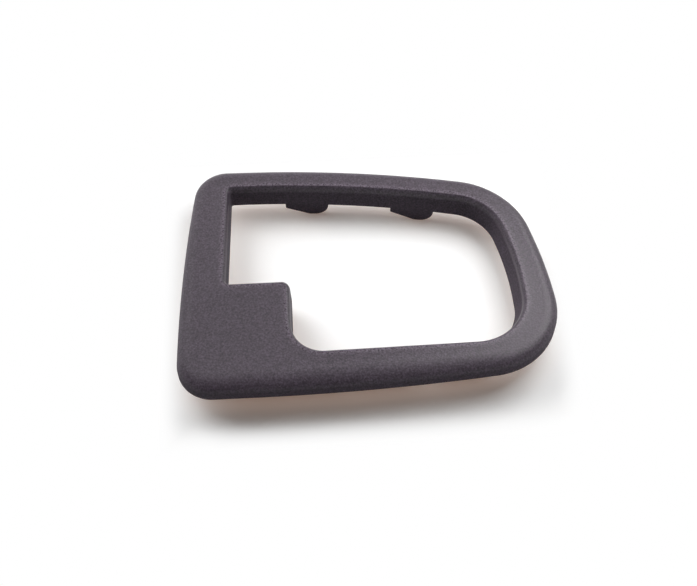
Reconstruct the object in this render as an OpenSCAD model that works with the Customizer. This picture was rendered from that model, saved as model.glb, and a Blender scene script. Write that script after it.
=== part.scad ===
// Door handle trim cover: a one-piece moulded surround with an L-shaped opening.
// It lies face up on its snap tabs, with Z up and the origin under the middle
// of its outline. Outlines are drawn from the sharp bottom left corner first
// and are centred afterwards.

/* [Outline] */
// Length along the bottom, between the sharp corners
body_length = 142.5; // [125:0.5:165]
// Height of the left side, between the sharp corners
left_height = 101.3; // [90:0.1:115]
// Height of the right side, between the sharp corners
right_height = 80.7; // [72:0.1:90]
// Rise of the bottom edge from left to right
bottom_rise = 6.3; // [2:0.1:10]
// How far the top left corner leans in
left_lean = 7.1; // [3:0.1:12]
// How far the top right corner leans in
right_lean = 11.3; // [6:0.1:16]
// Outward bow of the left side
left_bow = 3.1; // [1:0.1:5]
// Outward bow of the top side
top_bow = 5.8; // [3:0.1:8]
// Outward bow of the right side
right_bow = 3; // [1:0.1:5]
// Outward bow of the bottom side
bottom_bow = 3.6; // [1:0.1:5]
// Radius of the top left corner
top_left_radius = 13; // [8:0.5:18]
// Radius of the top right corner
top_right_radius = 32.5; // [24:0.5:38]
// Radius of the bottom right corner
bottom_right_radius = 28; // [22:0.5:32]
// Radius of the bottom left corner
bottom_left_radius = 13.2; // [8:0.1:18]

/* [Opening] */
// Width of the left bar at its top end
left_bar_top_width = 12.6; // [10:0.1:16]
// Width of the left bar beside the corner block
left_bar_width = 18.1; // [14:0.1:22]
// Width of the top bar at its left end
top_bar_width = 10.9; // [9:0.1:14]
// Width of the top bar at its right end
top_bar_end_width = 8.8; // [7:0.1:12]
// Width of the right bar at its top end
right_bar_top_width = 11.8; // [10:0.1:15]
// Width of the right bar at its bottom end
right_bar_width = 16.1; // [13:0.1:20]
// Width of the bottom bar beside the corner block
bottom_bar_width = 15.4; // [12:0.1:18]
// Width of the bottom bar at its right end
bottom_bar_end_width = 11.5; // [8:0.1:13]
// Width of the corner block that steps into the opening
block_width = 24.2; // [18:0.1:30]
// Height of the top of the corner block above the bottom left corner
block_height = 46.5; // [38:0.5:54]
// Upward bow of the opening's top edge
opening_top_bow = 5.1; // [3:0.1:7]
// Outward bow of the opening's right edge
opening_right_bow = 3.5; // [1:0.1:5]
// Radius of the opening's top left corner
opening_top_left_radius = 1; // [0.5:0.1:3]
// Radius of the opening's top right corner
opening_top_right_radius = 19; // [12:0.5:24]
// Radius of the opening's bottom right corner
opening_bottom_right_radius = 17; // [10:0.5:20]
// Radius between the bottom bar and the corner block
block_foot_radius = 11.5; // [6:0.5:14]
// Radius of the corner block's free corner
block_corner_radius = 3.6; // [3.6:0.1:6]
// Radius between the corner block and the left bar
block_root_radius = 1.2; // [0.5:0.1:3]

/* [Section] */
// Height of the lip round the opening above the tips of the tabs
lip_height = 16; // [15:0.5:20]
// Rise of the lip above the face
lip_rise = 0.3; // [0.1:0.05:0.5]
// Width of the slope from the lip down to the face
lip_width = 2.2; // [1:0.1:3]
// Thickness of the moulded wall
wall = 2; // [1.8:0.1:2.4]
// Depth of the outer rim below the lip
rim_depth = 6.5; // [5.5:0.1:8]
// Depth of the collar round the opening below the lip
collar_depth = 10; // [9:0.1:11]
// Rounding from the face over the outer rim
outer_edge_radius = 3.2; // [2.8:0.1:4]
// Rounding from the lip into the opening
inner_edge_radius = 3; // [2.6:0.1:3.2]
// How far the collar leans back all round, from its foot to its top
collar_lean = 0.3; // [0.2:0.05:0.4]
// Extra lean at the finger end of the opening
finger_relief = 2; // [0:0.1:2.5]
// Distance over which the extra lean fades out
finger_reach = 88; // [60:1:90]

/* [Snap tabs] */
// Width of each snap tab
tab_width = 17.2; // [14:0.1:18]
// Height of the step at the blunt end of a tab
tab_step = 2.4; // [2:0.1:3.5]
// Place of the tip along the tab, from the blunt end
tab_tip_place = 10.6; // [9:0.1:11]
// Width of the flat at the tip
tab_tip_flat = 2; // [1:0.1:3]
// Distance of the first upper tab from the sharp bottom left corner
upper_tab_place = 49.8; // [44:0.1:55]
// Distance between the two upper tabs
upper_tab_spacing = 41.8; // [36:0.1:44]
// Distance of the first lower tab from the sharp bottom left corner
lower_tab_place = 68; // [66:0.5:69]
// Distance between the two lower tabs
lower_tab_spacing = 29; // [26:0.5:31]
// How far the catch stands out behind a tab
catch_depth = 1.2; // [0.8:0.1:1.8]
// Height of the catch's upper edge above the tip
catch_height = 3.6; // [3:0.1:4.5]

/* [Ribs] */
// Thickness of the stiffening ribs
rib_thickness = 1.2; // [0.8:0.1:1.6]
// Gap between the ribs and the back of the rim
rib_setback = 0.8; // [0.5:0.1:2]
// Number of upright ribs
rib_count = 3; // [1:1:3]
// Distance of the first upright rib from the sharp bottom left corner
rib_first = 31; // [26:0.5:36]
// Distance between upright ribs
rib_spacing = 38; // [34:0.5:42]
// Number of level ribs
rib_level_count = 2; // [1:1:2]
// Height of the first level rib above the bottom left corner
rib_level = 26; // [22:0.5:32]
// Distance between level ribs
rib_level_spacing = 38; // [34:0.5:42]

/* [Smoothness] */
// Steps round each corner of an outline
corner_steps = 10; // [8:1:14]
// Steps over each rounded edge
edge_steps = 5; // [4:1:7]

/* [Hidden] */

plastic = [0.33, 0.3, 0.34];

// Share of a side at which the opening's bows are highest
opening_bow_place = 0.43;

// Radius that the inside of the block's free corner keeps
least_radius = 0.4;

// How far what is joined to the shell sinks into it: a rib into the face, and a
// rib's end into the collar, as a share of the wall and of the lean
rib_sink = 0.5;
root_wall_share = 0.65;
root_lean_share = 0.85;

// Width of the level strips of the rim and the collar that the plate reaches into
joint_width = 0.6;

// Height of a tab's tapered root in the collar, and how far it lies inside the wall
tab_root_height = 1;
tab_inset = 0.1;
tab_root_inset = 0.5;
tab_tip_thickness = 0.6 * wall;

// Sharp corners of the outline, clockwise from the top left
bottom_left = [0, 0];
top_left = [left_lean, left_height];
bottom_right = [body_length, bottom_rise];
top_right = bottom_right + [-right_lean, right_height];

// Sharp corners of the opening, clockwise from the top left
opening_top_left = top_left + [left_bar_top_width, -top_bar_width];
opening_top_right = top_right + [-right_bar_top_width, -top_bar_end_width];
opening_bottom_right = bottom_right + [-right_bar_width, bottom_bar_end_width];
block_root = bottom_left + [left_bar_width, block_height];
block_corner = block_root + [block_width, 0];
block_foot = [block_corner.x, bottom_bar_width];

// A corner is [point, radius], and a radius of 0 takes all the room that is left
outline_corners = [
    [top_left, top_left_radius],
    [bowed(top_left, top_right, top_bow, 0.5), 0],
    [top_right, top_right_radius],
    [bowed(top_right, bottom_right, right_bow, 0.5), 0],
    [bottom_right, bottom_right_radius],
    [bowed(bottom_right, bottom_left, bottom_bow, 0.5), 0],
    [bottom_left, bottom_left_radius],
    [bowed(bottom_left, top_left, left_bow, 0.5), 0]
];
opening_corners = [
    [opening_top_left, opening_top_left_radius],
    [bowed(opening_top_left, opening_top_right, opening_top_bow, opening_bow_place), 0],
    [opening_top_right, opening_top_right_radius],
    [bowed(opening_top_right, opening_bottom_right, opening_right_bow, opening_bow_place), 0],
    [opening_bottom_right, opening_bottom_right_radius],
    [block_foot, block_foot_radius],
    [block_corner, block_corner_radius],
    [block_root, block_root_radius]
];

outline_raw = rounded_path(outline_corners);
centre = box_middle(path_points(outline_raw, 0));
outline = moved(outline_raw, -centre);
opening = moved(rounded_path(opening_corners), -centre);

// Places of the snap tabs. The fifth stands on top of the corner block.
tab_places = [
    [upper_tab_place, true],
    [upper_tab_place + upper_tab_spacing, true],
    [lower_tab_place, false],
    [lower_tab_place + lower_tab_spacing, false],
    [(block_root.x + block_corner.x - block_corner_radius) / 2, false]
];

// Distance from the opening's edge to the foot of the lip
lip_inset = inner_edge_radius + lip_width;

// Heights of the face, of the underside and of the back edges
face_z = lip_height - lip_rise;
under_z = lip_height - wall;
rim_z = lip_height - rim_depth;
collar_z = lip_height - collar_depth;

// The point of the opening's outline where the extra lean is greatest
finger_point = opening_bottom_right + [0, opening_bottom_right_radius] - centre;

// Closed sections of the rim and the collar as [inset, height, share of the lean],
// from the face round the back edge to the underside. The plate lies between them.
rim_section = concat(
    [[outer_edge_radius + joint_width, face_z, 0]],
    edge_round(0, face_z, outer_edge_radius, 0),
    [[0, rim_z, 0], [wall, rim_z, 0]],
    reversed(edge_round(wall, under_z, outer_edge_radius - wall, 0)),
    [[outer_edge_radius + joint_width, under_z, 0]]
);
collar_section = concat(
    [[lip_inset + joint_width, face_z, 1], [lip_inset, face_z, 1]],
    edge_round(0, lip_height, inner_edge_radius, 1),
    [[0, collar_z, 0], [wall, collar_z, 0]],
    reversed(edge_round(wall, under_z, inner_edge_radius - wall, 1)),
    [[lip_inset + joint_width, under_z, 1]]
);

// The point beside the middle of a side, pushed out to its left
function bowed(from, to, bow, place) =
    let (along = (to - from) / norm(to - from))
    from + (to - from) * place + bow * [-along.y, along.x];

function wrapped(list, i) = list[(i + len(list)) % len(list)];
function reversed(list) = [for (i = [len(list) - 1:-1:0]) list[i]];

// Angle turned at a corner, counted positive to the right
function turn(corners, i) =
    let (
        here = wrapped(corners, i)[0],
        before = here - wrapped(corners, i - 1)[0],
        after = wrapped(corners, i + 1)[0] - here
    )
    atan2(before.y * after.x - before.x * after.y, before.x * after.x + before.y * after.y);

// Length that a corner's rounding takes from each side that meets there
function given_reach(corners, i) = wrapped(corners, i)[1] * tan(abs(turn(corners, i)) / 2);
function room_beside(corners, i, step) =
    norm(wrapped(corners, i + step)[0] - wrapped(corners, i)[0]) - given_reach(corners, i + step);
function reach(corners, i) =
    corners[i][1] > 0
        ? given_reach(corners, i)
        : min(room_beside(corners, i, -1), room_beside(corners, i, 1));

// Stations round one corner as [centre, signed radius, outward normal, normal at
// the middle of the corner, half the angle]. The radius is negative where the
// outline turns to the left.
function corner_stations(corners, i) =
    let (
        angle = turn(corners, i),
        radius = reach(corners, i) / tan(angle / 2),
        here = corners[i][0],
        back = wrapped(corners, i - 1)[0] - here,
        inward = back / norm(back),
        normal = [inward.y, -inward.x],
        middle = here + inward * reach(corners, i) - radius * normal
    )
    [for (k = [0:corner_steps])
        [middle, radius, spun(normal, -angle * k / corner_steps), spun(normal, -angle / 2), angle / 2]];

function spun(v, angle) = [v.x * cos(angle) - v.y * sin(angle), v.x * sin(angle) + v.y * cos(angle)];

// The point a distance outside a station. A corner that turns to the left keeps
// at least the least radius, and its centre moves out to allow that.
function offset_point(station, distance) =
    let (
        radius = station[1] + distance,
        slack = station[1] < 0 ? max(0, radius + least_radius) : 0
    )
    station[0] + slack / cos(station[4]) * station[3] + (radius - slack) * station[2];

function rounded_path(corners) = [for (i = [0:len(corners) - 1]) each corner_stations(corners, i)];
function path_points(path, distance) = [for (s = path) offset_point(s, distance)];
function box_middle(points) =
    let (xs = [for (p = points) p.x], ys = [for (p = points) p.y])
    [min(xs) + max(xs), min(ys) + max(ys)] / 2;
function moved(path, by) = [for (s = path) [s[0] + by, s[1], s[2], s[3], s[4]]];

// A quarter round of an edge, as profile points from the level part to the wall
function edge_round(inset, top, radius, lean_share) =
    [for (k = [0:edge_steps])
        let (a = 90 * k / edge_steps)
        [inset + radius * (1 - sin(a)), top - radius * (1 - cos(a)), lean_share]];

function lean(station) =
    let (away = norm(offset_point(station, 0) - finger_point))
    collar_lean + finger_relief * max(0, 1 - away / finger_reach);

// A section's rings of points round the outline and round the opening
function rim_rings() =
    [for (p = rim_section) [for (s = outline)
        let (q = offset_point(s, -p[0])) [q.x, q.y, p[1]]]];
function collar_rings() =
    [for (p = collar_section) [for (s = opening)
        let (q = offset_point(s, p[0] + p[2] * lean(s))) [q.x, q.y, p[1]]]];

// A solid that follows its rings all the way round, flipped where they lie in
// the opposite order
module swept(rings, flipped) {
    count = len(rings);
    size = len(rings[0]);
    polyhedron(
        points = [for (ring = rings) each ring],
        faces = [for (j = [0:count - 1], k = [0:size - 1])
            let (
                a = j * size + k,
                b = j * size + (k + 1) % size,
                c = (j + 1) % count * size + (k + 1) % size,
                d = (j + 1) % count * size + k
            )
            each (flipped ? [[a, c, b], [a, d, c]] : [[a, b, c], [a, c, d]])],
        convexity = 10
    );
}

// The level part of the face, between the rim and the lip round the opening
module plate() {
    translate([0, 0, under_z]) linear_extrude(face_z - under_z) difference() {
        polygon(path_points(outline, -outer_edge_radius - joint_width / 2));
        polygon([for (s = opening) offset_point(s, lip_inset + joint_width / 2 + lean(s))]);
    }
}

// The part between the walls, reaching into the rim and the leaning collar
module between_walls() {
    difference() {
        polygon(path_points(outline, -wall / 2));
        polygon([for (s = opening)
            offset_point(s, root_wall_share * wall + root_lean_share * lean(s))]);
    }
}

// Upright and level ribs under the face, from the collar to the rim
module ribs() {
    bottom = rim_z + rib_setback;
    top = under_z + rib_sink;
    translate([0, 0, bottom]) linear_extrude(top - bottom) intersection() {
        between_walls();
        union() {
            for (i = [0:rib_count - 1]) {
                translate([rib_first + i * rib_spacing - centre.x, 0])
                    square([rib_thickness, 2 * left_height], center = true);
            }
            for (i = [0:rib_level_count - 1]) {
                translate([0, rib_level + i * rib_level_spacing - centre.y])
                    square([2 * body_length, rib_thickness], center = true);
            }
        }
    }
}

// Height and slope of the opening's edge at a place along it, on a side that
// runs to the right or on one that runs to the left
function edge_place(x, runs_right) =
    let (
        points = path_points(opening, 0),
        places = [for (k = [0:len(points) - 1])
            let (a = points[k], b = wrapped(points, k + 1))
            if (runs_right ? a.x <= x && b.x > x : a.x >= x && b.x < x)
                [a.y + (b.y - a.y) * (x - a.x) / (b.x - a.x), atan((b.y - a.y) / (b.x - a.x))]]
    )
    places[0];

// One snap tab below the collar. X runs along it from its blunt end, Y runs from
// the opening into the material, and its catch stands out towards +Y.
module snap_tab() {
    outer = wall - tab_inset;
    root = collar_z + tab_root_height;
    round_start = tab_tip_place + tab_tip_flat / 2;
    round_width = tab_width - round_start;
    tab_side = concat(
        [[0, root], [0, collar_z - tab_step], [tab_tip_place - tab_tip_flat / 2, 0]],
        [for (k = [0:edge_steps])
            let (a = 90 * k / edge_steps)
            [round_start + round_width * sin(a), collar_z * (1 - cos(a))]],
        [[tab_width, root]]
    );
    tab_section = [
        [tab_root_inset, root], [tab_inset, collar_z], [tab_inset, 0], [tab_tip_thickness, 0],
        [wall + catch_depth, catch_height - catch_depth], [wall + catch_depth, catch_height],
        [outer, catch_height], [outer, root]
    ];
    intersection() {
        translate([0, 2 * wall + catch_depth, 0]) rotate([90, 0, 0])
            linear_extrude(2 * wall + catch_depth) polygon(tab_side);
        rotate([90, 0, 90]) linear_extrude(tab_width) polygon(tab_section);
    }
}

// Tabs at places along the opening, in pairs of [distance from the left, runs right]
module snap_tabs() {
    for (place = tab_places) {
        x = place[0] - centre.x;
        edge = edge_place(x, place[1]);
        translate([x, edge[0], 0]) rotate([0, 0, edge[1]]) mirror([0, place[1] ? 0 : 1, 0])
            translate([-tab_width / 2, 0, 0]) snap_tab();
    }
}

module trim_cover() {
    color(plastic) union() {
        swept(rim_rings(), true);
        swept(collar_rings(), false);
        plate();
        ribs();
        snap_tabs();
    }
}

trim_cover();
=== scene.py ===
import math

import bpy
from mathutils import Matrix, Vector


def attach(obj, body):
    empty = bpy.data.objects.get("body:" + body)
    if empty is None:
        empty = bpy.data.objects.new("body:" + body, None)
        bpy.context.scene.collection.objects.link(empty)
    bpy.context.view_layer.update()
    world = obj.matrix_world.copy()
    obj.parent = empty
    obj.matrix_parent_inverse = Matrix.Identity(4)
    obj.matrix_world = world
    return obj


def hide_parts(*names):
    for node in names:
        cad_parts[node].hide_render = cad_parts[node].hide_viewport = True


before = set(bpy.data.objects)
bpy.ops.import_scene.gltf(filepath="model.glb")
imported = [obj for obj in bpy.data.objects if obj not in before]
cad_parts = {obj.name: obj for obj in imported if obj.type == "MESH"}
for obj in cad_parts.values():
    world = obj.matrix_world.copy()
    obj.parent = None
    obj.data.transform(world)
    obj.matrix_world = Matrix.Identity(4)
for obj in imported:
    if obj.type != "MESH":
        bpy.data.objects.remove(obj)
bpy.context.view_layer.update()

mm = 0.001


def selectOnly(*objects):
    if bpy.context.object and bpy.context.object.mode != "OBJECT":
        bpy.ops.object.mode_set(mode="OBJECT")
    bpy.ops.object.select_all(action="DESELECT")
    for item in objects:
        item.select_set(True)
    bpy.context.view_layer.objects.active = objects[0] if objects else None


def editMode(piece):
    selectOnly(piece)
    bpy.ops.object.mode_set(mode="EDIT")
    bpy.ops.mesh.select_mode(type="VERT")


def objectMode():
    bpy.ops.object.mode_set(mode="OBJECT")


def applyModifier(piece, kind, **settings):
    selectOnly(piece)
    modifier = piece.modifiers.new(kind.lower(), kind)
    for name, value in settings.items():
        setattr(modifier, name, value)
    bpy.ops.object.modifier_apply(modifier=modifier.name)


def joined(pieces):
    selectOnly(*pieces)
    bpy.ops.object.join()
    return bpy.context.object


def hexColour(text):
    # sRGB hex to the linear values that the shaders want
    parts = [int(text[i:i + 2], 16) / 255 for i in (0, 2, 4)]
    return [p / 12.92 if p <= 0.04045 else ((p + 0.055) / 1.055) ** 2.4 for p in parts] + [1]


def addNode(tree, kind, settings=None, inputs=None):
    # inputs holds values, or sockets of other nodes to link
    node = tree.nodes.new(kind)
    for name, value in (settings or {}).items():
        setattr(node, name, value)
    for name, value in (inputs or {}).items():
        if isinstance(value, bpy.types.NodeSocket):
            tree.links.new(value, node.inputs[name])
        else:
            node.inputs[name].default_value = value
    return node


# The trim cover. Sizes in mm: outlines, walls and feet are the solid model's, but the lip
# is lower and the edges are rounded softer, as the photo shows them. Outlines run clockwise
# from the top left, with the sharp bottom left corner as zero, and are centred afterwards.
cover = {
    "bottomLeft": (0, 0), "topLeft": (7.1, 101.3),
    "topRight": (131.2, 87), "bottomRight": (142.5, 6.3),
    "outlineRadii": (13, 32.5, 28, 13.2),
    "outlineBows": (5.8, 3, 3.6, 3.1),      # top, right, bottom, left
    "outlineBowPlace": 0.5,
    "openingTopLeft": (12.6, -10.9),        # these three from the outline's own corners
    "openingTopRight": (-11.8, -8.8),
    "openingBottomRight": (-16.1, 11.5),
    "openingRadii": (1, 19, 17),
    "openingBows": (5.1, 3.5),              # top, right
    "openingBowPlace": 0.43,
    "blockFoot": (42.3, 15.4), "blockCorner": (42.3, 46.5), "blockRoot": (18.1, 46.5),
    "blockRadii": (11.5, 3.6, 1.2),
    "centre": (70.442, 50.426),             # middle of the rounded outline's box
    "lipHeight": 16, "faceHeight": 15.92, "lipWidth": 1.6,
    "wall": 2, "rimFoot": 9.5, "collarFoot": 6,         # the feet are heights above the ground
    "outerAcross": 4.2, "outerRound": 3.2,  # rounding from the face to the rim
    "nearAcross": (0, 0, 0, 0, 1, 3.6, 2.6, 0),     # more across along the bottom bar, per corner
    "innerAcross": 1.6, "innerRound": 3,    # rounding from the lip to the collar
    "footRound": 0.3, "hollowRound": 0.8,   # at the feet, and under the face beside the collar
    "lean": 0.3, "fingerLean": 2, "fingerReach": 88,    # the collar's, and more at the finger end
    "leastRadius": 0.4,
    "cornerSteps": 16, "edgeSteps": 8, "footSteps": 3, "lipSteps": 2,
    "faceStrip": 0.3,                       # level strip beside each rounding keeps the face flat
    "meetGap": 0.01,                        # left between two arcs, so that neither swallows a point
    "mergeDistance": 0.02,
    "hair": 0.02,                           # height between two rings on one level
    "touch": 0.01,                          # points this close count as the same place
    "sliver": 0.001,                        # thinner faces are dissolved
    "smoothAngle": 35,
}


def bowed(start, end, bow, place):
    # the point beside a side, pushed out to its left
    start, end = Vector(start), Vector(end)
    along = (end - start).normalized()
    return start.lerp(end, place) + bow * Vector((-along.y, along.x))


def centred(corners):
    return [(Vector(point) - Vector(cover["centre"]), radius) for point, radius in corners]


def shifted(point, by):
    return (point[0] + by[0], point[1] + by[1])


def outlineCorners():
    # a radius of 0 is a bow, whose arc takes all the room that is left
    points = [cover[name] for name in ("topLeft", "topRight", "bottomRight", "bottomLeft")]
    following = points[1:] + points[:1]
    corners = []
    for i, (point, after) in enumerate(zip(points, following)):
        corners.append((point, cover["outlineRadii"][i]))
        corners.append((bowed(point, after, cover["outlineBows"][i], cover["outlineBowPlace"]), 0))
    return centred(corners)


def openingCorners():
    topLeft = shifted(cover["topLeft"], cover["openingTopLeft"])
    topRight = shifted(cover["topRight"], cover["openingTopRight"])
    bottomRight = shifted(cover["bottomRight"], cover["openingBottomRight"])
    place = cover["openingBowPlace"]
    return centred([
        (topLeft, cover["openingRadii"][0]),
        (bowed(topLeft, topRight, cover["openingBows"][0], place), 0),
        (topRight, cover["openingRadii"][1]),
        (bowed(topRight, bottomRight, cover["openingBows"][1], place), 0),
        (bottomRight, cover["openingRadii"][2]),
        (cover["blockFoot"], cover["blockRadii"][0]),
        (cover["blockCorner"], cover["blockRadii"][1]),
        (cover["blockRoot"], cover["blockRadii"][2]),
    ])


def turnAt(points, i):
    # angle turned at a corner, positive to the right
    here = points[i]
    before = here - points[i - 1]
    after = points[(i + 1) % len(points)] - here
    return math.atan2(before.y * after.x - before.x * after.y, before.dot(after))


def offsetCorners(corners, distances):
    # the sharp corners pushed out by a distance each, with the radii that follow
    points = [point for point, radius in corners]
    result = []
    for i, (point, radius) in enumerate(corners):
        angle = turnAt(points, i)
        side = (point - points[i - 1]).normalized()
        half = abs(angle) / 2
        normal = Vector((-side.y, side.x))
        turned = Vector((
            normal.x * math.cos(angle / 2) + normal.y * math.sin(angle / 2),
            normal.y * math.cos(angle / 2) - normal.x * math.sin(angle / 2),
        ))
        newRadius = 0
        if radius:
            newRadius = radius + distances[i] * (1 if angle > 0 else -1)
            newRadius = max(newRadius, cover["leastRadius"])
        result.append((point + distances[i] / math.cos(half) * turned, newRadius))
    return result


def roundedRing(name, corners, height):
    # a wire loop: the sharp corners, each bevelled to a true arc
    count = len(corners)
    points = [point for point, radius in corners]
    halves = [abs(turnAt(points, i)) / 2 for i in range(count)]
    reaches = [radius * math.tan(halves[i]) for i, (point, radius) in enumerate(corners)]
    for i, (point, radius) in enumerate(corners):
        if not radius:
            before = (point - points[i - 1]).length - reaches[i - 1]
            after = (point - points[(i + 1) % count]).length - reaches[(i + 1) % count]
            reaches[i] = min(before, after) - cover["meetGap"]
    selectOnly()
    bpy.ops.mesh.primitive_circle_add(vertices=count, fill_type="NOTHING")
    ring = bpy.context.object
    ring.name = name
    for vertex, point in zip(ring.data.vertices, points):
        vertex.co = Vector((point.x, point.y, height)) * mm
    editMode(ring)
    for i, point in enumerate(points):
        bpy.ops.mesh.select_all(action="DESELECT")
        objectMode()
        place = Vector((point.x, point.y, height)) * mm
        nearest = min(ring.data.vertices, key=lambda vertex: (vertex.co - place).length)
        nearest.select = True
        bpy.ops.object.mode_set(mode="EDIT")
        arcProfile = (1 - 1 / (2 * (1 + math.cos(halves[i])))) ** 2
        bpy.ops.mesh.bevel(
            offset_type="OFFSET", offset=reaches[i] * mm, segments=cover["cornerSteps"],
            profile=arcProfile, affect="VERTICES", clamp_overlap=False)
    objectMode()
    return ring


def quarterRound(inset, top, across, down, steps):
    # section points of a rounded edge, from the level part to the wall
    turns = [math.pi / 2 * k / steps for k in range(steps + 1)]
    return [(inset + across * (1 - math.sin(a)), top - down * (1 - math.cos(a))) for a in turns]


def footRound(inset, foot, outer):
    # the small rounding at the foot of a wall, on its outer or on its inner side
    radius = cover["footRound"]
    turns = [math.pi / 2 * k / cover["footSteps"] for k in range(cover["footSteps"] + 1)]
    points = [(radius * (1 - math.cos(a)), foot + radius * (1 - math.sin(a))) for a in turns]
    if outer:
        return [(inset + x, z) for x, z in points]
    return [(inset - x, z) for x, z in reversed(points)]


def rimSection():
    # inset, height and share of the corner's shift, from the face round the foot to the underside
    wall, across, steps = cover["wall"], cover["outerAcross"], cover["edgeSteps"]
    under = cover["lipHeight"] - wall
    strip = across + cover["faceStrip"]
    within = cover["outerRound"] - wall
    edge = quarterRound(0, cover["faceHeight"], across, cover["outerRound"], steps)
    rest = footRound(0, cover["rimFoot"], True) + footRound(wall, cover["rimFoot"], False)
    rest += reversed(quarterRound(wall, under, within, within, steps))
    rest += [(strip, under)]
    return ([(strip, cover["faceHeight"], 1)]
            + [(inset, height, inset / across) for inset, height in edge]
            + [(inset, height, 0) for inset, height in rest])


def lipSweep():
    # from the level face up to the lip's crest, hollow like a cove
    rise = cover["lipHeight"] - cover["faceHeight"]
    crest = cover["innerAcross"]
    shares = [k / cover["lipSteps"] for k in range(cover["lipSteps"])]
    return [(crest + cover["lipWidth"] * (1 - share), cover["faceHeight"] + rise * share ** 2)
            for share in shares]


def collarSection():
    # as the rim's section, but on the opening's side; the foot doesn't lean
    wall, across, steps = cover["wall"], cover["innerAcross"], cover["edgeSteps"]
    under = cover["lipHeight"] - wall
    strip = across + cover["lipWidth"] + cover["faceStrip"]
    within = cover["hollowRound"]
    top = [(strip, cover["faceHeight"])] + lipSweep()
    top += quarterRound(0, cover["lipHeight"], across, cover["innerRound"], steps)
    foot = footRound(0, cover["collarFoot"], True) + footRound(wall, cover["collarFoot"], False)
    back = list(reversed(quarterRound(wall, under, within, within, steps)))
    back += [(strip, under)]
    return ([(inset, height, 1) for inset, height in top]
            + [(inset, height, 0) for inset, height in foot]
            + [(inset, height, 1) for inset, height in back])


def leans(corners):
    # the collar leans back a little all round, and more towards the finger end
    bottomRight, radius = corners[4]
    finger = bottomRight + Vector((0, radius))
    away = [(point - finger).length / cover["fingerReach"] for point, radius in corners]
    return [cover["lean"] + cover["fingerLean"] * max(0, 1 - a) for a in away]


def sectionRings(name, corners, section, outward, shifts):
    rings = []
    level = 0
    for k, (inset, height, share) in enumerate(section):
        distances = [outward * (inset + share * shift) for shift in shifts]
        # a hair of height between rings on one level tells the bridge which way they face
        level = height + cover["hair"] if abs(height - level) < cover["hair"] / 2 else height
        rings.append(roundedRing(f"{name}{k:02d}", offsetCorners(corners, distances), level))
    for ring in rings:
        group = ring.vertex_groups.new(name=ring.name)
        group.add(range(len(ring.data.vertices)), 1, "ADD")
    return rings, [ring.name for ring in rings]


def selectGroups(piece, names):
    bpy.ops.mesh.select_all(action="DESELECT")
    for name in names:
        piece.vertex_groups.active_index = piece.vertex_groups[name].index
        bpy.ops.object.vertex_group_select()


def buildShell():
    outline, opening = outlineCorners(), openingCorners()
    rimRings, rimNames = sectionRings("rim", outline, rimSection(), -1, cover["nearAcross"])
    collarRings, collarNames = sectionRings("collar", opening, collarSection(), 1, leans(opening))
    shell = joined(rimRings + collarRings)
    shell.name = "trimCover"
    editMode(shell)
    for names in (rimNames, collarNames):
        for first, second in zip(names, names[1:]):
            selectGroups(shell, [first, second])
            bpy.ops.mesh.bridge_edge_loops()
    bpy.ops.mesh.select_all(action="SELECT")
    bpy.ops.mesh.remove_doubles(threshold=cover["mergeDistance"] * mm)
    for end in (0, -1):  # the level face and its underside
        selectGroups(shell, [rimNames[end], collarNames[end]])
        bpy.ops.mesh.fill(use_beauty=True)
    bpy.ops.mesh.select_all(action="SELECT")
    bpy.ops.mesh.normals_make_consistent(inside=False)
    objectMode()
    shell.vertex_groups.clear()
    return shell


# The snap tabs. A tab is what its side outline and its section with the catch both hold.
tab = {
    "width": 17.2, "step": 2.4, "tipPlace": 10.6, "tipFlat": 2, "toeSteps": 10,
    "softCorner": 0.5, "softSteps": 4,
    "root": 7, "rootInset": 0.5, "inset": 0.1, "tipThickness": 1.2,
    "catchDepth": 1.2, "catchHeight": 3.6,
    "edgeBevel": 0.15, "edgeSteps": 2, "edgeAngle": 50,
    "spare": 1,                             # each shape is this much longer than the other needs
    "places": [(49.8, 1), (91.6, 1), (68, -1), (97, -1), (28.4, -1)],   # 1 top bar, -1 bottom
}


def flatOutline(name, points):
    # a filled outline standing in XZ
    selectOnly()
    bpy.ops.mesh.primitive_circle_add(vertices=len(points), fill_type="NGON")
    piece = bpy.context.object
    piece.name = name
    for vertex, (x, z) in zip(piece.data.vertices, points):
        vertex.co = Vector((x, 0, z)) * mm
    return piece


def bevelPoint(piece, place, size, steps):
    bpy.ops.mesh.select_all(action="DESELECT")
    objectMode()
    target = Vector((place[0], 0, place[1])) * mm
    for vertex in piece.data.vertices:
        vertex.select = (vertex.co - target).length < cover["touch"] * mm
    bpy.ops.object.mode_set(mode="EDIT")
    bpy.ops.mesh.bevel(
        offset_type="OFFSET", offset=size * mm, segments=steps, affect="VERTICES",
        clamp_overlap=False)


def extruded(piece, vector):
    editMode(piece)
    bpy.ops.mesh.select_all(action="SELECT")
    bpy.ops.mesh.extrude_region_move(TRANSFORM_OT_translate={"value": Vector(vector) * mm})
    bpy.ops.mesh.select_all(action="SELECT")
    bpy.ops.mesh.normals_make_consistent(inside=False)
    objectMode()


def tabSide():
    # the tab from inside the opening: a step, a sloped foot and a rounded toe
    width, spare = tab["width"], tab["spare"]
    top = tab["root"] + spare
    toe = (width, 0)
    soft = [(0, cover["collarFoot"] - tab["step"]), (tab["tipPlace"] - tab["tipFlat"] / 2, 0)]
    piece = flatOutline("tab", [(0, top), *soft, toe, (width, top)])
    editMode(piece)
    bevelPoint(piece, toe, width - tab["tipPlace"] - tab["tipFlat"] / 2, tab["toeSteps"])
    for place in soft:
        bevelPoint(piece, place, tab["softCorner"], tab["softSteps"])
    extruded(piece, (0, cover["wall"] + tab["catchDepth"] + spare, 0))
    return piece


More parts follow.
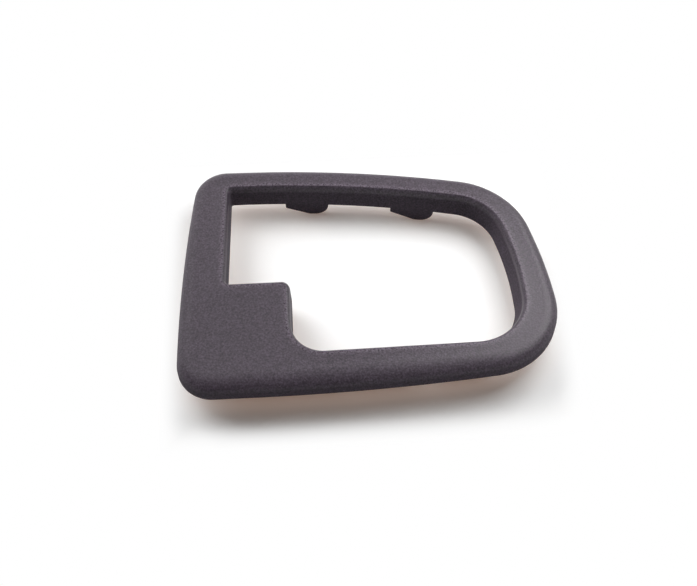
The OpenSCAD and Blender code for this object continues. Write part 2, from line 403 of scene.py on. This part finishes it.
def tabSection():
    # the tab from its end: a tapered blade with the hooked catch outside, as a bar along X
    spare, inset = tab["spare"], tab["inset"]
    outer = cover["wall"] - inset
    catch = cover["wall"] + tab["catchDepth"]
    piece = flatOutline("tabSection", [
        (tab["rootInset"], tab["root"]), (inset, cover["collarFoot"]), (inset, -spare),
        (tab["tipThickness"], -spare), (tab["tipThickness"], 0),
        (catch, tab["catchHeight"] - tab["catchDepth"]), (catch, tab["catchHeight"]),
        (outer, tab["catchHeight"]), (outer, tab["root"]),
    ])
    piece.rotation_euler = (0, 0, math.radians(90))
    piece.location.x = -spare * mm
    bpy.ops.object.transform_apply(location=True, rotation=True, scale=False)
    extruded(piece, (tab["width"] + 2 * spare, 0, 0))
    return piece


def buildTab():
    piece, section = tabSide(), tabSection()
    applyModifier(piece, "BOOLEAN", operation="INTERSECT", object=section, solver="EXACT")
    bpy.data.objects.remove(section)
    applyModifier(
        piece, "BEVEL", width=tab["edgeBevel"] * mm, segments=tab["edgeSteps"],
        limit_method="ANGLE", angle_limit=math.radians(tab["edgeAngle"]))
    return piece


def edgeAt(corners, x, direction):
    # the height and slope of the opening's foot edge at x, on the top or the bottom bar
    ring = roundedRing("edge", corners, cover["collarFoot"])
    for edge in ring.data.edges:
        ends = [ring.data.vertices[i].co / mm for i in edge.vertices]
        a, b = sorted(ends, key=lambda end: end.x)
        if a.x <= x < b.x and a.y * direction > 0:
            slope = (b.y - a.y) / (b.x - a.x)
            found = (a.y + slope * (x - a.x), math.atan(slope))
    bpy.data.objects.remove(ring)
    return found


def buildTabs():
    first = buildTab()
    corners = openingCorners()
    tabs = []
    for place, direction in tab["places"]:
        x = place - cover["centre"][0]
        y, slope = edgeAt(corners, x, direction)
        selectOnly(first)
        bpy.ops.object.duplicate()
        copy = bpy.context.object
        for vertex in copy.data.vertices:
            vertex.co.x -= tab["width"] / 2 * mm
        copy.rotation_euler = (0, 0, slope)
        copy.scale = (1, direction, 1)
        copy.location = (x * mm, y * mm, 0)
        bpy.ops.object.transform_apply(location=True, rotation=True, scale=True)
        tabs.append(copy)
    bpy.data.objects.remove(first)
    tabs = joined(tabs)
    editMode(tabs)
    bpy.ops.mesh.select_all(action="SELECT")
    bpy.ops.mesh.normals_make_consistent(inside=False)
    objectMode()
    print("snap tabs:", len(tab["places"]))
    return tabs


# The ribs under the face. They end inside the rim's wall and inside the leaning collar.
rib = {
    "thickness": 1.2, "setback": 0.8, "sink": 0.5, "wallShare": 0.65, "leanShare": 0.85,
    "uprights": (31, 69, 107), "levels": (26, 64),
    "reach": 300, "spare": 1,               # the bars are longer than the cover, and cut to it
}


def prism(corners, bottom, top):
    low, high = roundedRing("low", corners, bottom), roundedRing("high", corners, top)
    piece = joined([low, high])
    editMode(piece)
    bpy.ops.mesh.select_all(action="SELECT")
    bpy.ops.mesh.bridge_edge_loops()
    for height in (bottom, top):
        bpy.ops.mesh.select_all(action="DESELECT")
        objectMode()
        level = [abs(vertex.co.z - height * mm) < cover["touch"] * mm for vertex in piece.data.vertices]
        for vertex, isLevel in zip(piece.data.vertices, level):
            vertex.select = isLevel
        for edge in piece.data.edges:
            edge.select = all(level[i] for i in edge.vertices)
        bpy.ops.object.mode_set(mode="EDIT")
        bpy.ops.mesh.edge_face_add()
    bpy.ops.mesh.select_all(action="SELECT")
    bpy.ops.mesh.remove_doubles(threshold=cover["mergeDistance"] * mm)
    bpy.ops.mesh.normals_make_consistent(inside=False)
    objectMode()
    return piece


def ribBar(x, y, width, depth, bottom, top):
    selectOnly()
    bpy.ops.mesh.primitive_cube_add(
        size=1, location=Vector((x, y, (bottom + top) / 2)) * mm,
        scale=Vector((width, depth, top - bottom)) * mm)
    return bpy.context.object


def buildRibs():
    bottom = cover["rimFoot"] + rib["setback"]
    top = cover["lipHeight"] - cover["wall"] + rib["sink"]
    centreX, centreY = cover["centre"]
    bars = [ribBar(place - centreX, 0, rib["thickness"], rib["reach"], bottom, top)
            for place in rib["uprights"]]
    bars += [ribBar(0, place - centreY, rib["reach"], rib["thickness"], bottom, top)
             for place in rib["levels"]]
    ribs = bars[0]
    for bar in bars[1:]:
        applyModifier(ribs, "BOOLEAN", operation="UNION", object=bar, solver="EXACT")
        bpy.data.objects.remove(bar)
    outline, opening = outlineCorners(), openingCorners()
    outside = offsetCorners(outline, [-cover["wall"] / 2] * len(outline))
    keep = [rib["wallShare"] * cover["wall"] + rib["leanShare"] * lean for lean in leans(opening)]
    spare = rib["spare"]
    outer = prism(outside, bottom - spare, top + spare)
    inner = prism(offsetCorners(opening, keep), bottom - 2 * spare, top + 2 * spare)
    applyModifier(ribs, "BOOLEAN", operation="INTERSECT", object=outer, solver="EXACT")
    applyModifier(ribs, "BOOLEAN", operation="DIFFERENCE", object=inner, solver="EXACT")
    for tool in (outer, inner):
        bpy.data.objects.remove(tool)
    print("ribs:", len(bars))
    return ribs


def buildCover():
    shell = buildShell()
    print("shell:", len(shell.data.polygons), "faces")
    for added in (buildTabs(), buildRibs()):
        applyModifier(shell, "BOOLEAN", operation="UNION", object=added, solver="EXACT")
        bpy.data.objects.remove(added)
    editMode(shell)
    bpy.ops.mesh.select_all(action="SELECT")
    bpy.ops.mesh.dissolve_degenerate(threshold=cover["sliver"] * mm)
    objectMode()
    bpy.ops.object.shade_smooth_by_angle(angle=math.radians(cover["smoothAngle"]))
    print("cover:", len(shell.data.polygons), "faces")
    return shell


trimCover = buildCover()
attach(trimCover, "root")
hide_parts("trim_cover")


# Moulded ABS, dark grey with a purple cast: a spark-eroded mould leaves a fine even grain
# of pits and peaks, which breaks the gloss into a soft, speckled sheen. The walls draw out
# of the mould with a duller skin. The lip's crest is a little smoother, and a highlight is
# painted on it by making its colour lighter, like a fine line of light.
plastic = {
    "base": "443c45", "pit": "322c33", "peak": "554c57",
    "roughness": 0.38, "roughnessRange": 0.09, "reflection": 0.35, "ior": 1.54,
    "grain": 0.7, "grainDepth": 0.1, "bump": 0.8,   # mm; a real grain of 0.3 is too fine to show
    "drift": 45, "driftAmount": 0.06,        # mm, slow change of tone over the face
    "detail": 2, "grainMix": 0.6, "driftMix": 0.5,      # how much finer noise is mixed in
    "noiseLow": 0.3, "noiseHigh": 0.7,       # nearly all of the noise lies between these
    "crestBandFrom": 15.93, "crestBandTo": 15.99,  # mm, heights between the face and the crest, where a highlight is painted
    # painted highlight: how much lighter the crest's colour is made; then how much smoother it is
    "paintedCrestHighlight": 1.5, "crestSmooth": 0.08,
    "wallFrom": 14.8, "wallTo": 12.5,        # mm, heights over which the face turns to wall
    "wallDuller": 0.5,
}


def mouldedAbs():
    material = bpy.data.materials.new("mouldedAbsDarkGrey")
    material.use_nodes = True
    tree = material.node_tree
    shader = tree.nodes["Principled BSDF"]
    place = addNode(tree, "ShaderNodeTexCoord").outputs["Object"]
    height = addNode(tree, "ShaderNodeSeparateXYZ", None, {"Vector": place}).outputs["Z"]
    grain = addNode(tree, "ShaderNodeTexNoise", {"noise_dimensions": "3D"}, {
        "Vector": place, "Scale": 1 / (plastic["grain"] * mm),
        "Detail": plastic["detail"], "Roughness": plastic["grainMix"]}).outputs["Fac"]
    drift = addNode(tree, "ShaderNodeTexNoise", {"noise_dimensions": "3D"}, {
        "Vector": place, "Scale": 1 / (plastic["drift"] * mm),
        "Detail": plastic["detail"], "Roughness": plastic["driftMix"]}).outputs["Fac"]

    # colour: pits darker, peaks lighter, the crest lighter still as a painted highlight, over a slow
    # drift of tone
    speckle = addNode(tree, "ShaderNodeValToRGB", None, {"Fac": grain})
    low, high = speckle.color_ramp.elements
    low.position, low.color = plastic["noiseLow"], hexColour(plastic["pit"])
    high.position, high.color = plastic["noiseHigh"], hexColour(plastic["peak"])
    middle = speckle.color_ramp.elements.new((plastic["noiseLow"] + plastic["noiseHigh"]) / 2)
    middle.color = hexColour(plastic["base"])
    # crest mask: a painted highlight in the colour, and a lower roughness
    crestHighlightAndSmoothing = addNode(tree, "ShaderNodeMapRange", {"interpolation_type": "SMOOTHSTEP"}, {
        "Value": height, "From Min": plastic["crestBandFrom"] * mm, "From Max": plastic["crestBandTo"] * mm,
        "To Min": 0, "To Max": 1}).outputs["Result"]
    slow = addNode(tree, "ShaderNodeMapRange", None, {
        "Value": drift, "From Min": plastic["noiseLow"], "From Max": plastic["noiseHigh"],
        "To Min": 1 - plastic["driftAmount"], "To Max": 1 + plastic["driftAmount"]})
    # painted highlight: the crest's colour made lighter
    lighter = addNode(tree, "ShaderNodeMath", {"operation": "MULTIPLY_ADD"}, {
        0: crestHighlightAndSmoothing, 1: plastic["paintedCrestHighlight"] - 1, 2: 1})
    value = addNode(tree, "ShaderNodeMath", {"operation": "MULTIPLY"}, {
        0: slow.outputs["Result"], 1: lighter.outputs["Value"]})
    tone = addNode(tree, "ShaderNodeHueSaturation", None, {
        "Color": speckle.outputs["Color"], "Value": value.outputs["Value"]})
    tree.links.new(tone.outputs["Color"], shader.inputs["Base Color"])

    # roughness: the grain's peaks scatter more, the crest less, and the walls much more
    sheen = addNode(tree, "ShaderNodeMapRange", None, {
        "Value": grain, "From Min": plastic["noiseLow"], "From Max": plastic["noiseHigh"],
        "To Min": plastic["roughness"] - plastic["roughnessRange"],
        "To Max": plastic["roughness"] + plastic["roughnessRange"]})
    smoother = addNode(tree, "ShaderNodeMath", {"operation": "MULTIPLY_ADD"}, {
        0: crestHighlightAndSmoothing, 1: -plastic["crestSmooth"], 2: sheen.outputs["Result"]})
    duller = addNode(tree, "ShaderNodeMapRange", {"interpolation_type": "SMOOTHSTEP"}, {
        "Value": height, "From Min": plastic["wallTo"] * mm, "From Max": plastic["wallFrom"] * mm,
        "To Min": plastic["wallDuller"], "To Max": 0})
    rough = addNode(tree, "ShaderNodeMath", {"operation": "ADD"}, {
        0: smoother.outputs["Value"], 1: duller.outputs["Result"]})
    tree.links.new(rough.outputs["Value"], shader.inputs["Roughness"])

    bump = addNode(tree, "ShaderNodeBump", None, {
        "Height": grain, "Strength": plastic["bump"], "Distance": plastic["grainDepth"] * mm})
    tree.links.new(bump.outputs["Normal"], shader.inputs["Normal"])
    shader.inputs["Specular IOR Level"].default_value = plastic["reflection"]
    shader.inputs["IOR"].default_value = plastic["ior"]
    return material


trimCover.data.materials.clear()
trimCover.data.materials.append(mouldedAbs())
print("plastic: done")


# The studio: a large disc of matte white paper inside a low white wall.
studio = {
    "radius": 4, "sides": 128, "wallHeight": 2.2,        # m
    "paper": "fbfbfb",                      # as it is seen
    "bounce": "b4b4b4",                     # for the light that it throws back
    "paintedShadeGlow": "ffcaa6", "paintedShadeGlowStrength": 0.15,              # painted warm glow that lifts and tints the paper in the cover's shade
    "shadeReach": 42, "shadeFrom": 0.85, "shadeTo": 0.4,     # mm, then how open the sheet is there
    "halfSize": (66, 55), "whiteFrom": 0, "whiteTo": 12,     # mm, where the sheet turns pure white
    "ambient": "ffe8d8", "ambientStrength": 0.02,
    "middle": 12,                           # mm, the height that the lamps look at
}

# tilt from straight above, turn from the back towards the right; distance and width in metres;
# a lamp without sheen lights the plastic but isn't mirrored in it
lamps = {
    "key": {"tilt": 56, "turn": -50, "distance": 0.7, "width": 0.5, "watts": 4.5, "sheen": False},
    "right": {"tilt": 42, "turn": 58, "distance": 0.35, "width": 0.25, "watts": 1, "sheen": True},
    "front": {"tilt": 50, "turn": 135, "distance": 0.7, "width": 0.5, "watts": 0.8, "sheen": False},
}
back = {"tilt": 38, "turn": -20, "spread": 45, "strength": 0.55}    # a wide sun, mirrored by the face

camera = {
    "place": (-21.05, -250.3, 370.25), "target": (-6.88, -11.8, 16),     # mm
    "lens": 59.4, "sensor": 36, "clip": (0.01, 50),
}


def seenDirectly(tree):
    # 1 where the camera, a reflection or a clear piece looks at the surface
    rays = addNode(tree, "ShaderNodeLightPath")
    seen = addNode(tree, "ShaderNodeMath", {"operation": "MAXIMUM"}, {
        0: rays.outputs["Is Camera Ray"], 1: rays.outputs["Is Glossy Ray"]})
    seen = addNode(tree, "ShaderNodeMath", {"operation": "MAXIMUM"}, {
        0: seen.outputs["Value"], 1: rays.outputs["Is Transmission Ray"]})
    return seen.outputs["Value"]


def beyondCover(tree):
    # 0 beside the cover, where the paper keeps its shadow, and 1 farther out
    place = addNode(tree, "ShaderNodeTexCoord").outputs["Object"]
    axes = addNode(tree, "ShaderNodeSeparateXYZ", None, {"Vector": place})
    gaps = []
    for axis, half in zip("XY", studio["halfSize"]):
        far = addNode(tree, "ShaderNodeMath", {"operation": "ABSOLUTE"}, {0: axes.outputs[axis]})
        gap = addNode(tree, "ShaderNodeMath", {"operation": "SUBTRACT"}, {
            0: far.outputs["Value"], 1: half * mm})
        gaps.append(gap.outputs["Value"])
    gap = addNode(tree, "ShaderNodeMath", {"operation": "MAXIMUM"}, {0: gaps[0], 1: gaps[1]})
    return addNode(tree, "ShaderNodeMapRange", {"interpolation_type": "SMOOTHSTEP"}, {
        "Value": gap.outputs["Value"],
        "From Min": studio["whiteFrom"] * mm, "From Max": studio["whiteTo"] * mm,
        "To Min": 0, "To Max": 1}).outputs["Result"]


def emptyMaterial(name):
    material = bpy.data.materials.new(name)
    material.use_nodes = True
    material.node_tree.nodes.clear()
    return material, material.node_tree


def whitePaper():
    # matte and even: grey for the light it throws back, a painted warm glow where the cover
    # shades it, and pure white farther out
    material, tree = emptyMaterial("matteWhitePaper")
    seen = seenDirectly(tree)
    openness = addNode(tree, "ShaderNodeAmbientOcclusion", None, {
        "Distance": studio["shadeReach"] * mm})
    shaded = addNode(tree, "ShaderNodeMapRange", None, {
        "Value": openness.outputs["AO"],
        "From Min": studio["shadeFrom"], "From Max": studio["shadeTo"],
        "To Min": 0, "To Max": studio["paintedShadeGlowStrength"]})
    strength = addNode(tree, "ShaderNodeMath", {"operation": "MULTIPLY"}, {
        0: seen, 1: shaded.outputs["Result"]})
    # painted light: a warm emission, seen only directly, brightens and tints the paper's shadow
    paintedShadeGlow = addNode(tree, "ShaderNodeEmission", None, {
        "Color": hexColour(studio["paintedShadeGlow"]), "Strength": strength.outputs["Value"]})
    # sockets 6 and 7 and output 2 are the mix's colours
    colour = addNode(tree, "ShaderNodeMix", {"data_type": "RGBA"}, {
        0: seen, 6: hexColour(studio["bounce"]), 7: hexColour(studio["paper"])})
    paper = addNode(tree, "ShaderNodeBsdfDiffuse", None, {"Color": colour.outputs[2]})
    lit = addNode(tree, "ShaderNodeAddShader", None, {
        0: paper.outputs["BSDF"], 1: paintedShadeGlow.outputs["Emission"]})
    white = addNode(tree, "ShaderNodeEmission", None, {"Strength": 1})
    share = addNode(tree, "ShaderNodeMath", {"operation": "MULTIPLY"}, {
        0: seen, 1: beyondCover(tree)})
    mixed = addNode(tree, "ShaderNodeMixShader", None, {
        0: share.outputs["Value"], 1: lit.outputs["Shader"], 2: white.outputs["Emission"]})
    addNode(tree, "ShaderNodeOutputMaterial", None, {"Surface": mixed.outputs["Shader"]})
    return material


def brightBackdrop():
    # pure white to look at, and plain paper for the light
    material, tree = emptyMaterial("whiteBackdrop")
    paper = addNode(tree, "ShaderNodeBsdfDiffuse", None, {"Color": hexColour(studio["bounce"])})
    white = addNode(tree, "ShaderNodeEmission", None, {"Strength": 1})
    mixed = addNode(tree, "ShaderNodeMixShader", None, {
        0: seenDirectly(tree), 1: paper.outputs["BSDF"], 2: white.outputs["Emission"]})
    addNode(tree, "ShaderNodeOutputMaterial", None, {"Surface": mixed.outputs["Shader"]})
    return material


def stageDisc(name, fill, material):
    selectOnly()
    bpy.ops.mesh.primitive_circle_add(
        vertices=studio["sides"], radius=studio["radius"], fill_type=fill)
    disc = bpy.context.object
    disc.name = name
    disc.data.materials.append(material)
    return disc


def aimed(light, tilt, turn, distance):
    # the light stands at a tilt from straight above and looks at the cover
    tilt, turn = math.radians(tilt), math.radians(turn)
    towards = Vector((
        math.sin(tilt) * math.sin(turn), math.sin(tilt) * math.cos(turn), math.cos(tilt)))
    light.location = Vector((0, 0, studio["middle"] * mm)) + distance * towards
    light.rotation_euler = towards.to_track_quat("Z", "Y").to_euler()


def buildStudio():
    floor = stageDisc("floor", "NGON", whitePaper())
    backdrop = stageDisc("backdrop", "NOTHING", brightBackdrop())
    editMode(backdrop)
    bpy.ops.mesh.select_all(action="SELECT")
    bpy.ops.mesh.extrude_region_move(TRANSFORM_OT_translate={"value": (0, 0, studio["wallHeight"])})
    objectMode()
    backdrop.visible_shadow = False

    for name, lamp in lamps.items():
        bpy.ops.object.light_add(type="AREA")
        light = bpy.context.object
        light.name = name
        light.data.size = lamp["width"]
        light.data.energy = lamp["watts"]
        light.visible_glossy = lamp["sheen"]
        aimed(light, lamp["tilt"], lamp["turn"], lamp["distance"])
    bpy.ops.object.light_add(type="SUN")
    light = bpy.context.object
    light.name = "back"
    light.data.energy = back["strength"]
    light.data.angle = math.radians(back["spread"])
    aimed(light, back["tilt"], back["turn"], 1)

    world = bpy.data.worlds.new("studioAir")
    world.use_nodes = True
    air = world.node_tree.nodes["Background"]
    air.inputs["Color"].default_value = hexColour(studio["ambient"])
    air.inputs["Strength"].default_value = studio["ambientStrength"]
    bpy.context.scene.world = world


def buildCamera():
    place, target = Vector(camera["place"]) * mm, Vector(camera["target"]) * mm
    bpy.ops.object.camera_add(location=place)
    view = bpy.context.object
    view.rotation_euler = (target - place).to_track_quat("-Z", "Y").to_euler()
    view.data.sensor_fit = "HORIZONTAL"
    view.data.sensor_width = camera["sensor"]
    view.data.lens = camera["lens"]
    view.data.clip_start, view.data.clip_end = camera["clip"]
    bpy.context.scene.camera = view


buildStudio()
buildCamera()
bpy.context.scene.view_settings.view_transform = "Standard"
print("studio: done")
